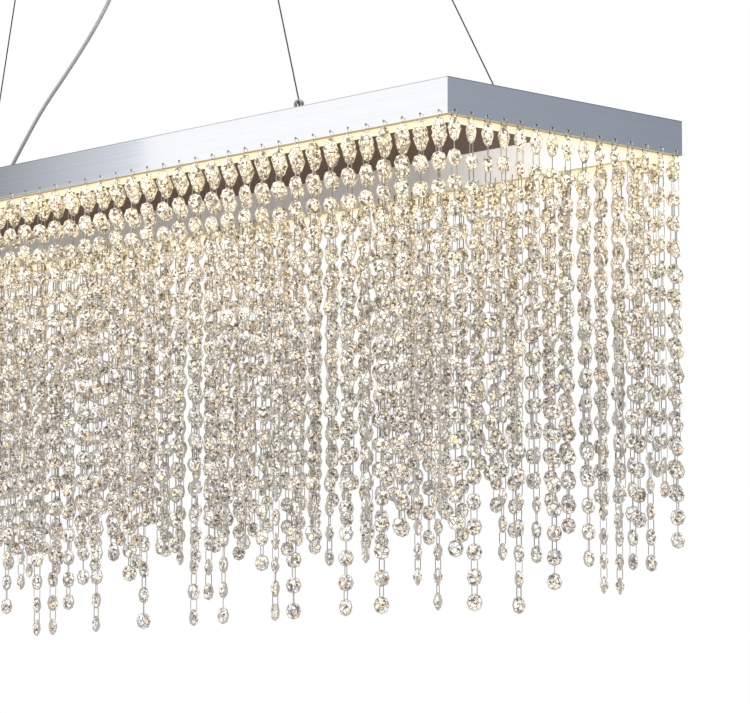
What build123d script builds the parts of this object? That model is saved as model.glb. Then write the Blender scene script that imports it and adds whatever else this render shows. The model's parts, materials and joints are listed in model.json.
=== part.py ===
"""Linear crystal chandelier: a long open tray of lit channel rails, hung on four steel wires
from a flat ceiling canopy, with curtains of octagon crystals hooked into its rails.

Millimetres. The origin is the middle of the ceiling face, +Z is up, and +X runs along the
long side towards the corner that stands nearest in the photograph. -Y is the front.
"""

import math
import os

from build123d import *

# ---- driving dimensions ------------------------------------------------------------------
FRAME_LENGTH = 1222.0
FRAME_WIDTH = 300.0
RAIL_HEIGHT = 32.0
RAIL_WIDTH = 24.0
SHEET = 1.0  # sheet steel of the rails and the canopy
FRAME_DROP = 320.0  # ceiling to the top of the rails

CANOPY_HEIGHT = 30.0
CANOPY_MARGIN = 22.0  # wire to the canopy's edge
BRACKET_SHEET = 1.5
BRACKET_WIDTH = 60.0
BRACKET_LIP = 12.0
FIT_GAP = 0.3  # sliding fit of one sheet piece inside another
CEILING_HOLE = 5.0
CEILING_HOLE_SPACING = 400.0
DRIVER_X = 140.0
TERMINAL_X = -60.0

PANEL_SHEET = 1.5
PANEL_LAP = 7.0  # how far the panel lies on the rails

SADDLE_FROM_END = 196.5
SADDLE_INSET = 8.0
SADDLE_WIDTH = 9.6
SADDLE_HEIGHT = 8.0
SADDLE_SHOULDER = 2.4
SADDLE_DEPTH = 3.6
SADDLE_HOLE = 2.6
WIRE_DIAMETER = 1.5
WIRE_LEAN_X = 0.464  # run towards the middle for each millimetre up
WIRE_LEAN_Y = 0.173
FERRULE_DIAMETER = 2.8
FERRULE_LENGTH = 4.4
CROWN_GAP = 0.1  # ferrule to the crown of its saddle

GRIPPER_DIAMETER = 12.0
GRIPPER_LENGTH = 24.0
GRIPPER_STEM = 6.0
PLUNGER_DIAMETER = 8.0
PLUNGER_BORE = 5.2
PLUNGER_LENGTH = 8.0
PLUNGER_STICKS_OUT = 3.0
PLUNGER_TRAVEL = 2.0
SPIGOT_DIAMETER = 3.6
NUT_ACROSS = 11.0
NUT_HEIGHT = 3.0
STEM_PAST_NUT = 1.0

CORD_DIAMETER = 4.0
GRIP_DIAMETER = 11.0
GRIP_LENGTH = 14.0

LED_PROFILE_WIDTH = 15.0
LED_PROFILE_HEIGHT = 18.0
LED_PROFILE_WALL = 1.0
LED_INSET = 3.5  # the rail's outer face to the profile's
TAPE_WIDTH = 8.0
TAPE_HEIGHT = 1.6
DIFFUSER_WALL = 2.0
DIFFUSER_HEIGHT = 26.0
DIFFUSER_BELOW = 3.6  # how far the diffuser shows under the rail

LONG_STRANDS = 54
SHORT_STRANDS = 15
LONG_END_OFFSET = 11.1  # frame end to the first strand
SHORT_END_OFFSET = 8.6
HOOK_HOLE = 2.2
HOOK_HOLE_HEIGHT = 3.5  # above the rail's lower edge

CRYSTAL = 14.0  # across the flats
CRYSTAL_THICKNESS = 7.0
CRYSTAL_RIM = 1.6
CRYSTAL_TABLE = 1.0  # half width of the small flat in the middle of a crystal
CRYSTAL_HOLE = 1.8
CRYSTAL_HOLE_INSET = 1.7
CRYSTAL_PITCH = 22.7
FIRST_CRYSTAL_DROP = 21.0  # rail's lower edge to the middle of a strand's first crystal
TOP_CRYSTAL_HEIGHT = 21.0
LINK_WIRE = 0.9
LINK_WIDTH = 5.2
HANG_GAP = 0.3

SMALL_SIDES = 10  # small round pieces and their holes are prisms of so many sides

# Crystals in each strand of the front curtain, from the front right corner leftwards. The
# same run repeats past the part that the photograph shows.
FRONT_RUN = (19, 18, 16, 19, 17, 19, 17, 16, 19, 19, 17, 16, 19, 18,
             19, 16, 16, 19, 17, 16, 19, 17, 18, 19, 19, 17, 18)
END_RUN = (17, 19, 14, 17, 19, 17, 18, 15, 17, 18, 18, 17, 17, 14, 16)
INNER_FEWER = 3  # crystals that an inner strand has fewer than the front's
BACK_FEWER = 4
SECTIONS = 3  # lengths that each long curtain swings in
FULL_STRAND = 2  # the strand of the right curtain that is modelled piece by piece

# ---- places that follow ------------------------------------------------------------------
RAIL_TOP = -FRAME_DROP
RAIL_EDGE = RAIL_TOP - RAIL_HEIGHT
WALL_MIDDLE = SHEET / 2
INNER_WALL_MIDDLE = RAIL_WIDTH - SHEET / 2
HOOK_LINE = RAIL_EDGE + HOOK_HOLE_HEIGHT
WEB_UNDERSIDE = RAIL_TOP - SHEET
LED_MIDDLE = LED_INSET + LED_PROFILE_WIDTH / 2
CANOPY_UNDERSIDE = -CANOPY_HEIGHT
CROWN_TOP = RAIL_TOP + SADDLE_HEIGHT
HANGER_X = FRAME_LENGTH / 2 - SADDLE_FROM_END
HANGER_Y = FRAME_WIDTH / 2 - SADDLE_INSET
WIRE_TOP = CANOPY_UNDERSIDE - GRIPPER_LENGTH
WIRE_RISE = WIRE_TOP - (CROWN_TOP - SHEET / 2)
GRIP_X = HANGER_X - WIRE_LEAN_X * WIRE_RISE
GRIP_Y = HANGER_Y - WIRE_LEAN_Y * WIRE_RISE
CANOPY_LENGTH = 2 * (GRIP_X + CANOPY_MARGIN)
CANOPY_WIDTH = 2 * (GRIP_Y + CANOPY_MARGIN)
CORNERS = ((1, -1), (1, 1), (-1, 1), (-1, -1))
CORD_EXIT_X = -194.0
CORD_IN_X = 0.0
CORD_START = RAIL_TOP + PANEL_SHEET + GRIP_LENGTH
CORD_END = CANOPY_UNDERSIDE - GRIP_LENGTH

# The cord's route in the plane y = 0: x, and the height above the rails.
CORD_ROUTE = ((-194.0, 36.0), (-169.0, 63.0), (-129.0, 96.0), (-88.0, 127.0),
              (-47.0, 163.0), (-14.0, 200.0), (0.0, 240.0))


def save(node, shape):
    """One sub-part to its own file."""
    export_step(shape, f"parts/{node}.step")


def group(solids):
    return Compound(children=list(solids))


def box_at(x, y, z, dx, dy, dz):
    """A box by its middle in x and y, and its lower face in z."""
    return Pos(x, y, z) * Box(dx, dy, dz, align=(Align.CENTER, Align.CENTER, Align.MIN))


def rod(diameter, length):
    """An upright rod that stands on z = 0."""
    return Cylinder(diameter / 2, length, align=(Align.CENTER, Align.CENTER, Align.MIN))


def sleeve(outer, bore, length):
    return rod(outer, length) - rod(bore, length)


def pin(diameter, length, sides=SMALL_SIDES):
    """An upright prism that stands on z = 0, as thick across its flats as a rod."""
    return extrude(RegularPolygon(diameter / 2, sides, major_radius=False), length)


def corners_of(half_x, half_y, z, shape):
    """The same shape at four corners."""
    return [Pos(sx * half_x, sy * half_y, z) * shape for sx, sy in CORNERS]


# ---- ceiling ------------------------------------------------------------------------------
def ceiling_bracket():
    """A steel strap with a lip at each end, which the canopy's end walls slip over."""
    length = CANOPY_LENGTH - 2 * (SHEET + FIT_GAP)
    strap = box_at(0, 0, -BRACKET_SHEET, length, BRACKET_WIDTH, BRACKET_SHEET)
    end = length / 2 - BRACKET_SHEET / 2
    for side in (-1, 1):
        strap += box_at(side * end, 0, -BRACKET_LIP, BRACKET_SHEET, BRACKET_WIDTH, BRACKET_LIP)
        hole = rod(CEILING_HOLE, BRACKET_SHEET)
        strap -= Pos(side * CEILING_HOLE_SPACING / 2, 0, -BRACKET_SHEET) * hole
    return strap


def canopy_cover():
    """A shallow pan with folded walls, open towards the ceiling."""
    pan = box_at(0, 0, -CANOPY_HEIGHT, CANOPY_LENGTH, CANOPY_WIDTH, CANOPY_HEIGHT)
    pan -= box_at(0, 0, -CANOPY_HEIGHT + SHEET, CANOPY_LENGTH - 2 * SHEET,
                  CANOPY_WIDTH - 2 * SHEET, CANOPY_HEIGHT - SHEET)
    holes = corners_of(GRIP_X, GRIP_Y, -CANOPY_HEIGHT, pin(GRIPPER_STEM, SHEET))
    holes.append(Pos(CORD_IN_X, 0, -CANOPY_HEIGHT) * pin(GRIPPER_STEM, SHEET))
    return pan.cut(*holes)


def canopy_screws():
    """Two knurled screws through each end wall, which meet the bracket's lips."""
    head, height, from_edge = 8.0, 4.0, 10.0
    half, level = BRACKET_WIDTH / 2 - from_edge, -BRACKET_LIP / 2
    screws = []
    for side in (-1, 1):
        turn = Rot(0, side * 90, 0)
        for y in (-half, half):
            place = Pos(side * CANOPY_LENGTH / 2, y, level)
            screws.append(place * turn * pin(head, height))
    return group(screws)


def led_driver():
    """The constant-voltage supply, screwed under the bracket."""
    length, width, height, ear = 150.0, 42.0, 20.0, 8.0
    level = -BRACKET_SHEET
    case = box_at(DRIVER_X, 0, level - height, length, width, height)
    foot = box_at(DRIVER_X, 0, level - BRACKET_SHEET, length + 2 * ear, width / 2,
                  BRACKET_SHEET)
    return case + foot


def terminal_block():
    """Three poles in one moulding, with a wire entry on both sides of each pole."""
    pole, depth, height, entry = 10.0, 18.0, 14.0, 4.0
    block = box_at(TERMINAL_X, 0, -BRACKET_SHEET - height, 3 * pole, depth, height)
    for k in (-1, 0, 1):
        middle = -BRACKET_SHEET - height / 2
        block -= Pos(TERMINAL_X + k * pole, 0, middle) * Box(entry, depth, entry)
    return block


def gripper_body():
    """Lower face on z = 0. The spigot inside is where the wire is clamped."""
    body = rod(GRIPPER_DIAMETER, GRIPPER_LENGTH - PLUNGER_STICKS_OUT)
    depth = PLUNGER_LENGTH - PLUNGER_STICKS_OUT + PLUNGER_TRAVEL + FIT_GAP
    body -= rod(PLUNGER_DIAMETER + 2 * FIT_GAP, depth)
    body += pin(SPIGOT_DIAMETER, depth)
    stem = pin(GRIPPER_STEM - 2 * FIT_GAP, SHEET + NUT_HEIGHT + STEM_PAST_NUT)
    return body + Pos(0, 0, GRIPPER_LENGTH - PLUNGER_STICKS_OUT) * stem


def gripper_nuts():
    nut = pin(NUT_ACROSS, NUT_HEIGHT, 6) - pin(GRIPPER_STEM - 2 * FIT_GAP, NUT_HEIGHT)
    level = CANOPY_UNDERSIDE + SHEET
    nuts = corners_of(GRIP_X, GRIP_Y, level, nut)
    return group(nuts + [Pos(CORD_IN_X, 0, level) * nut])


def gripper_plunger():
    """The sprung sleeve that is pushed up to let the wire run. Lower face on z = 0."""
    return sleeve(PLUNGER_DIAMETER, PLUNGER_BORE, PLUNGER_LENGTH)


# ---- wires and cord -----------------------------------------------------------------------
def wire_line(sx, sy, height):
    """The point of a suspension wire at a height, where its slope carries it."""
    rise = height - (CROWN_TOP - SHEET / 2)
    return Vector(sx * (HANGER_X - WIRE_LEAN_X * rise), sy * (HANGER_Y - WIRE_LEAN_Y * rise),
                  height)


def ferrule_top():
    """Level of a ferrule's upper face, whose raised rim stays just under the crown."""
    lean = math.atan(math.hypot(WIRE_LEAN_X, WIRE_LEAN_Y))
    rim = FERRULE_DIAMETER / 2 * math.sin(lean)
    return CROWN_TOP - SHEET - rim - CROWN_GAP


def along_wire(sx, sy, low, diameter, length):
    """A rod on a wire's line, from a height upwards."""
    start = wire_line(sx, sy, low)
    direction = (wire_line(sx, sy, low + 1) - start).normalized()
    return Plane(origin=start, z_dir=direction) * pin(diameter, length)


def suspension_wire(sx, sy):
    """One straight run from the ferrule to the face that clamps it in the gripper."""
    end = CANOPY_UNDERSIDE - GRIPPER_LENGTH + PLUNGER_STICKS_OUT
    length = (wire_line(sx, sy, end) - wire_line(sx, sy, ferrule_top())).length
    slack = WIRE_DIAMETER / 2 * math.hypot(WIRE_LEAN_X, WIRE_LEAN_Y)
    return along_wire(sx, sy, ferrule_top(), WIRE_DIAMETER, length - slack)


def ferrules():
    solids = []
    for sx, sy in CORNERS:
        bottom = wire_line(sx, sy, ferrule_top())
        up = (wire_line(sx, sy, ferrule_top() + 1) - bottom).normalized()
        place = Plane(origin=bottom - up * FERRULE_LENGTH, z_dir=up)
        solids.append(place * pin(FERRULE_DIAMETER, FERRULE_LENGTH))
    return group(solids)


def wire_saddles():
    """Small welded arches, each with a hole in its crown for the wire."""
    half, top, cut = SADDLE_WIDTH / 2, SADDLE_HEIGHT, SADDLE_SHOULDER
    low = top - cut
    inside = half - SHEET
    # The shoulders are cut so that the sheet keeps its thickness along the slope.
    thin = cut - SHEET * math.tan(math.pi / 8)
    outline = Polygon((-half, 0), (-half, low), (cut - half, top), (half - cut, top),
                      (half, low), (half, 0), (inside, 0), (inside, top - SHEET - thin),
                      (inside - thin, top - SHEET), (thin - inside, top - SHEET),
                      (-inside, top - SHEET - thin), (-inside, 0), align=None)
    arch = extrude(Plane.XZ * outline, SADDLE_DEPTH / 2, both=True)
    arch -= Pos(0, 0, top - SHEET) * pin(SADDLE_HOLE, SHEET)
    return group(corners_of(HANGER_X, HANGER_Y, RAIL_TOP, arch))


def cord_path():
    points = [Vector(CORD_EXIT_X, 0, CORD_START)]
    points += [Vector(x, 0, RAIL_TOP + up) for x, up in CORD_ROUTE]
    points.append(Vector(CORD_IN_X, 0, CORD_END))
    radii = []
    for before, at, after in zip(points, points[1:], points[2:]):
        turn = math.radians((at - before).get_angle(after - at))
        shorter = min((at - before).length, (after - at).length)
        radii.append(0.45 * shorter / math.tan(turn / 2))
    print("cord radii", [round(r) for r in radii])
    return FilletPolyline(*points, radius=radii)


def power_cord():
    path = cord_path()
    section = Plane(origin=path @ 0, z_dir=path % 0) * Circle(CORD_DIAMETER / 2)
    cord = sweep(section, path=path)
    expected = math.pi * CORD_DIAMETER ** 2 / 4 * path.length
    print(f"cord length {path.length:.1f}, volume {cord.volume:.0f} for {expected:.0f}")
    return cord


def cord_grip():
    """A strain relief that stands on z = 0: collar, neck and the stem that goes through."""
    height, wall, through = 4.0, 1.5, SHEET + NUT_HEIGHT
    collar = pin(GRIP_DIAMETER, height)
    neck = Pos(0, 0, height) * pin(CORD_DIAMETER + 2 * wall, GRIP_LENGTH - height)
    stem = Pos(0, 0, -through) * pin(GRIPPER_STEM - 2 * FIT_GAP, through)
    return collar + neck + stem


# ---- frame --------------------------------------------------------------------------------
def side_place(side):
    """The frame's sides share one form: x along the side, y inwards from its face."""
    turns = {"front": (0, 0, -FRAME_WIDTH / 2), "back": (180, 0, FRAME_WIDTH / 2),
             "right": (90, FRAME_LENGTH / 2, 0), "left": (-90, -FRAME_LENGTH / 2, 0)}
    turn, x, y = turns[side]
    return Pos(x, y, 0) * Rot(0, 0, turn)


def side_length(side):
    return FRAME_LENGTH if side in ("front", "back") else FRAME_WIDTH


def strand_places(side):
    """Where the hook holes are along a side, from its right-hand end as seen from outside."""
    long_side = side in ("front", "back")
    count = LONG_STRANDS if long_side else SHORT_STRANDS
    offset = LONG_END_OFFSET if long_side else SHORT_END_OFFSET
    start = side_length(side) / 2 - offset
    step = 2 * start / (count - 1)
    return [start - k * step for k in range(count)]


def inner_places(side):
    """The long sides' second row leaves out the holes that the short rails stand over."""
    return strand_places(side)[1:-1] if side in ("front", "back") else []


def hook_hole(x, y):
    return Pos(x, y, HOOK_LINE) * Box(HOOK_HOLE, 2 * SHEET, HOOK_HOLE)


def mitre(side, inset, width, low, height):
    """A slab along a side, inset from the frame's outer faces, with mitred ends."""
    half = side_length(side) / 2 - inset
    outline = Polygon((-half, inset), (half, inset), (half - width, inset + width),
                      (width - half, inset + width), align=None)
    return Pos(0, 0, low) * extrude(outline, height)


def rail(side):
    """A channel of sheet steel, open downwards, with a row of hook holes in its walls."""
    body = mitre(side, 0, RAIL_WIDTH, RAIL_EDGE, RAIL_HEIGHT)
    body -= mitre(side, SHEET, RAIL_WIDTH - 2 * SHEET, RAIL_EDGE, RAIL_HEIGHT - SHEET)
    holes = [hook_hole(x, WALL_MIDDLE) for x in strand_places(side)]
    holes += [hook_hole(x, INNER_WALL_MIDDLE) for x in inner_places(side)]
    return side_place(side) * body.cut(*holes)


def corner_angles():
    """Angles in the corners, between the outer walls and the profiles, that join the rails."""
    leg, thick, height = 22.0, 1.5, 22.0
    along = Box(leg, thick, height, align=(Align.MIN, Align.MIN, Align.MAX))
    across = Box(thick, leg, height, align=(Align.MIN, Align.MIN, Align.MAX))
    angle = along + across
    angles = []
    for k, (sx, sy) in enumerate(CORNERS):
        x, y = sx * (FRAME_LENGTH / 2 - SHEET), sy * (FRAME_WIDTH / 2 - SHEET)
        angles.append(Pos(x, y, WEB_UNDERSIDE) * Rot(0, 0, 90 + 90 * k) * angle)
    return group(angles)


def top_panel():
    """The cover that closes the tray, laid on the rails' inner margins."""
    inset = 2 * (RAIL_WIDTH - PANEL_LAP)
    panel = box_at(0, 0, RAIL_TOP, FRAME_LENGTH - inset, FRAME_WIDTH - inset, PANEL_SHEET)
    return panel - Pos(CORD_EXIT_X, 0, RAIL_TOP) * pin(GRIPPER_STEM, PANEL_SHEET)


def panel_screws():
    """Hexagon screws through the panel's margin into the webs."""
    lap_x = FRAME_LENGTH / 2 - RAIL_WIDTH + PANEL_LAP / 2
    lap_y = FRAME_WIDTH / 2 - RAIL_WIDTH + PANEL_LAP / 2
    across, height, spacing = 5.5, 2.5, FRAME_LENGTH / 4
    head = pin(across, height, 6)
    level = RAIL_TOP + PANEL_SHEET
    places = [(k * spacing, sy * lap_y) for k in (-1.5, -0.5, 0.5, 1.5) for sy in (-1, 1)]
    places += [(sx * lap_x, 0) for sx in (-1, 1)]
    return group([Pos(x, y, level) * head for x, y in places])


# ---- light --------------------------------------------------------------------------------
def led_profile(side):
    """An aluminium trough on the web's underside, open downwards."""
    low, wall = WEB_UNDERSIDE - LED_PROFILE_HEIGHT, LED_PROFILE_WALL
    body = mitre(side, LED_INSET, LED_PROFILE_WIDTH, low, LED_PROFILE_HEIGHT)
    body -= mitre(side, LED_INSET + wall, LED_PROFILE_WIDTH - 2 * wall, low,
                  LED_PROFILE_HEIGHT - wall)
    return side_place(side) * body


def led_tape(side):
    low = WEB_UNDERSIDE - LED_PROFILE_WALL - TAPE_HEIGHT
    tape = mitre(side, LED_MIDDLE - TAPE_WIDTH / 2, TAPE_WIDTH, low, TAPE_HEIGHT)
    return side_place(side) * tape


def diffuser(side):
    """A trough of clear acrylic that clips into the profile and shows under the rail."""
    inset = LED_INSET + LED_PROFILE_WALL
    width = LED_PROFILE_WIDTH - 2 * LED_PROFILE_WALL
    low, wall = RAIL_EDGE - DIFFUSER_BELOW, DIFFUSER_WALL
    body = mitre(side, inset, width, low, DIFFUSER_HEIGHT)
    body -= mitre(side, inset + wall, width - 2 * wall, low + wall, DIFFUSER_HEIGHT - wall)
    return side_place(side) * body


# ---- crystals -----------------------------------------------------------------------------
def crystal(height=CRYSTAL):
    """An octagon lens of eight long facets a side, drilled near both ends. Its middle is
    at the origin and its faces look along y."""
    stretch = height - CRYSTAL
    half = CRYSTAL / 2
    side = half * math.tan(math.pi / 8)
    outline = Polygon((-side, -half - stretch / 2), (side, -half - stretch / 2),
                      (half, -side - stretch / 2), (half, side + stretch / 2),
                      (side, half + stretch / 2), (-side, half + stretch / 2),
                      (-half, side + stretch / 2), (-half, -side - stretch / 2), align=None)
    crown = (CRYSTAL_THICKNESS - CRYSTAL_RIM) / 2
    taper = math.degrees(math.atan((half - CRYSTAL_TABLE) / crown))
    upper = extrude(outline, crown, taper=taper)
    stone = Pos(0, 0, CRYSTAL_RIM / 2) * upper
    stone += Pos(0, 0, -CRYSTAL_RIM / 2) * extrude(outline, CRYSTAL_RIM)
    stone += Pos(0, 0, -CRYSTAL_RIM / 2) * Rot(180, 0, 0) * upper
    inset = height / 2 - CRYSTAL_HOLE_INSET
    drill = Box(CRYSTAL_HOLE, CRYSTAL_HOLE, CRYSTAL_THICKNESS)
    stone -= Pos(0, inset, 0) * drill
    stone -= Pos(0, -inset, 0) * drill
    return Rot(90, 0, 0) * stone


def link(reach):
    """An oval wire link that stands in the y-z plane. Reach is from the middle of the wire
    at one end to the middle of the wire at the other."""
    wide = LINK_WIDTH - LINK_WIRE
    bend = wide * 0.3
    path = [(bend - wide / 2, 0), (wide / 2 - bend, 0), (wide / 2, bend),
            (wide / 2, reach - bend), (wide / 2 - bend, reach), (bend - wide / 2, reach),
            (-wide / 2, reach - bend), (-wide / 2, bend)]
    loop = Polyline(*[(0, y, z) for y, z in path], close=True)
    section = Plane(origin=(0, 0, 0), z_dir=(0, 1, 0)) * Rectangle(LINK_WIRE, LINK_WIRE)
    return sweep(section, path=loop, transition=Transition.RIGHT)


def crystal_levels(count):
    """Middle of each crystal, below the rail's edge."""
    return [FIRST_CRYSTAL_DROP + CRYSTAL_PITCH * k for k in range(count)]


def strand_end(count):
    return crystal_levels(count)[-1] + CRYSTAL / 2


def plain_strand(x, y, count):
    """The envelope of a strand over its whole length. Its crystals hang turned by chance, so
    it is as deep as a crystal is wide on the side that faces away from the light strip, and
    as deep as a crystal is thick on the other."""
    half, thick = CRYSTAL / 2, CRYSTAL_THICKNESS / 2
    low, high = (-half, thick) if y < LED_MIDDLE else (-thick, half)
    outline = Polygon((-half, 0), (0, low), (half, 0), (0, high), align=None)
    body = extrude(outline, -(strand_end(count) - HANG_GAP))
    return Pos(x, y, RAIL_EDGE - HANG_GAP) * body


def full_strand(x, y, count):
    """A strand piece by piece: hook link, top crystal, then links and octagons."""
    top_middle = FIRST_CRYSTAL_DROP + (CRYSTAL - TOP_CRYSTAL_HEIGHT) / 2
    hole_up = CRYSTAL / 2 - CRYSTAL_HOLE_INSET
    first_hole = top_middle - TOP_CRYSTAL_HEIGHT / 2 + CRYSTAL_HOLE_INSET
    reach = CRYSTAL_PITCH - 2 * hole_up
    solids = [Pos(0, 0, -first_hole) * link(first_hole + HOOK_HOLE_HEIGHT),
              Pos(0, 0, -top_middle) * crystal(TOP_CRYSTAL_HEIGHT)]
    for level in crystal_levels(count)[1:]:
        solids.append(Pos(0, 0, -level + hole_up) * link(reach))
        solids.append(Pos(0, 0, -level) * crystal())
    return [Pos(x, y, RAIL_EDGE) * solid for solid in solids]


def curtain(side, places, wall, counts, detailed=()):
    """Strands along one wall of a rail. Those whose number is in detailed are complete."""
    solids = []
    for k, (x, count) in enumerate(zip(places, counts)):
        if k in detailed:
            solids += full_strand(x, wall, count)
        else:
            solids.append(plain_strand(x, wall, count))
    return group([side_place(side) * solid for solid in solids])


def counts_for(places, fewer, first=0):
    return [FRONT_RUN[(first + k) % len(FRONT_RUN)] - fewer for k in range(len(places))]


def in_sections(items):
    """A list in SECTIONS runs, as equal as they come."""
    short, extra = divmod(len(items), SECTIONS)
    runs, at = [], 0
    for k in range(SECTIONS):
        size = short + (k < extra)
        runs.append(items[at:at + size])
        at += size
    return runs


def save_long_curtains():
    rows = (("front", "strands", strand_places, WALL_MIDDLE, 0, 0),
            ("front", "inner_strands", inner_places, INNER_WALL_MIDDLE, INNER_FEWER, 1),
            ("back", "strands", strand_places, WALL_MIDDLE, BACK_FEWER, 0),
            ("back", "inner_strands", inner_places, INNER_WALL_MIDDLE, BACK_FEWER + 1, 1))
    for side, name, places_of, wall, fewer, first in rows:
        places = places_of(side)
        pairs = list(zip(places, counts_for(places, fewer, first)))
        for k, run in enumerate(in_sections(pairs)):
            xs, counts = zip(*run)
            save(f"{side}_{name}_{k + 1}", curtain(side, xs, wall, counts))


def main():
    os.makedirs("parts", exist_ok=True)
    save("ceiling_bracket", ceiling_bracket())
    save("canopy_cover", canopy_cover())
    save("canopy_screws", canopy_screws())
    save("led_driver", led_driver())
    save("terminal_block", terminal_block())
    save("gripper_nuts", gripper_nuts())
    for k, (sx, sy) in enumerate(CORNERS):
        place = Pos(sx * GRIP_X, sy * GRIP_Y, CANOPY_UNDERSIDE - GRIPPER_LENGTH)
        save(f"gripper_body_{k + 1}", place * Pos(0, 0, PLUNGER_STICKS_OUT) * gripper_body())
        save(f"gripper_plunger_{k + 1}", place * gripper_plunger())
        save(f"suspension_wire_{k + 1}", suspension_wire(sx, sy))
    save("wire_ferrules", ferrules())
    save("wire_saddles", wire_saddles())
    save("power_cord", power_cord())
    save("canopy_cord_grip", Pos(CORD_IN_X, 0, CANOPY_UNDERSIDE) * Rot(180, 0, 0) * cord_grip())
    save("frame_cord_grip", Pos(CORD_EXIT_X, 0, RAIL_TOP + PANEL_SHEET) * cord_grip())
    save("top_panel", top_panel())
    save("panel_screws", panel_screws())
    save("corner_angles", corner_angles())
    for side in ("front", "back", "right", "left"):
        save(f"{side}_rail", rail(side))
        save(f"{side}_led_profile", led_profile(side))
        save(f"{side}_led_tape", led_tape(side))
        save(f"{side}_diffuser", diffuser(side))
    save_long_curtains()
    # The end curtains' run starts at the front corner, which is the right side's last place.
    for side, order, complete in (("right", -1, (FULL_STRAND,)), ("left", 1, ())):
        places = strand_places(side)[::order]
        save(f"{side}_strands", curtain(side, places, WALL_MIDDLE, END_RUN, complete))


if __name__ == "__main__":
    main()
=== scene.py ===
"""Looks of the linear crystal chandelier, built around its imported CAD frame.

Metres, in the frame's own axes: the origin is on the ceiling, +Z is up and -Y is the front.
"""

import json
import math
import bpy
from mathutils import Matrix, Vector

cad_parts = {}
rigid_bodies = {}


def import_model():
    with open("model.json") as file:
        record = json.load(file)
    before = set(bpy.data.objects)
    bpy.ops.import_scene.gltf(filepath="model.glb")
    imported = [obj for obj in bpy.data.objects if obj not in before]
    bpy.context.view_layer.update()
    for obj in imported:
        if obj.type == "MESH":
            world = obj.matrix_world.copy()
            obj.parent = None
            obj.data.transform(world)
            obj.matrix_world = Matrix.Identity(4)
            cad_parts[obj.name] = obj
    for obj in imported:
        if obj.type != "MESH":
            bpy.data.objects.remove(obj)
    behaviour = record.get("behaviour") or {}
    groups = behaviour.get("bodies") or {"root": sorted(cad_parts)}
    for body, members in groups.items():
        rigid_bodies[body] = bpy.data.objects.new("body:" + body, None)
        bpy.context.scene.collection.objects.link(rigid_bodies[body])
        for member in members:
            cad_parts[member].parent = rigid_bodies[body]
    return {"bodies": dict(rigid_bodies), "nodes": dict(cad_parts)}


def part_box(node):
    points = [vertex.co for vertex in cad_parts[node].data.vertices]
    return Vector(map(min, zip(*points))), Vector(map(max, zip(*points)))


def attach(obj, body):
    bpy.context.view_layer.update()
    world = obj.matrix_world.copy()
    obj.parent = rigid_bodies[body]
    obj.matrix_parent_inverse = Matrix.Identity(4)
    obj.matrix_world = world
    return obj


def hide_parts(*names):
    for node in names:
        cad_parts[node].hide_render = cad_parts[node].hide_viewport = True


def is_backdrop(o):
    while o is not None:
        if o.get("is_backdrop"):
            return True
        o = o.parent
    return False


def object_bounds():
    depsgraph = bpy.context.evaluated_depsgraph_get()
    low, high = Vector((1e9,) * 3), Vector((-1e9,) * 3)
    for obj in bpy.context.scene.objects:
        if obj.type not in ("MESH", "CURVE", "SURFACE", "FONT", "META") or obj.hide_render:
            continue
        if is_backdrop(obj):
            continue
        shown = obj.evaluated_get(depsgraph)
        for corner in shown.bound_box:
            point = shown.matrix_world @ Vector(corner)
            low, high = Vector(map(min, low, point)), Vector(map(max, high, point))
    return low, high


bl_info = {
    "name": "Linear crystal chandelier",
    "version": (1, 0, 0),
    "blender": (4, 5, 0),
    "location": "View3D > Sidebar > Chandelier",
    "description": "Crystal curtains, chrome rails, light strips and hangers",
    "category": "Object",
}

import bmesh
import bpy
import numpy as np
from bpy.props import FloatProperty, FloatVectorProperty, IntProperty, PointerProperty
from mathutils import Matrix, Vector

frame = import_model()

SIDES = ("front", "back", "right", "left")
CURTAINS = [name for name in frame["bodies"] if "strands" in name]
CAD_PITCH = 0.0227  # crystal to crystal down a strand of the CAD model
CAD_FIRST_DROP = 0.021  # rail's edge to the first of them
CAD_HALF = 0.007  # half the width of a CAD strand


# ---- sizes and colours ----
def length(name, description, metres):
    return FloatProperty(name=name, description=description, default=metres, min=0.0,
                         unit="LENGTH", precision=5)


def angle(name, description, degrees):
    return FloatProperty(name=name, description=description, default=math.radians(degrees),
                         subtype="ANGLE")


def colour(name, description, red, green, blue):
    return FloatVectorProperty(name=name, description=description, subtype="COLOR",
                               default=(red, green, blue), min=0.0, max=1.0)


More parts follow.
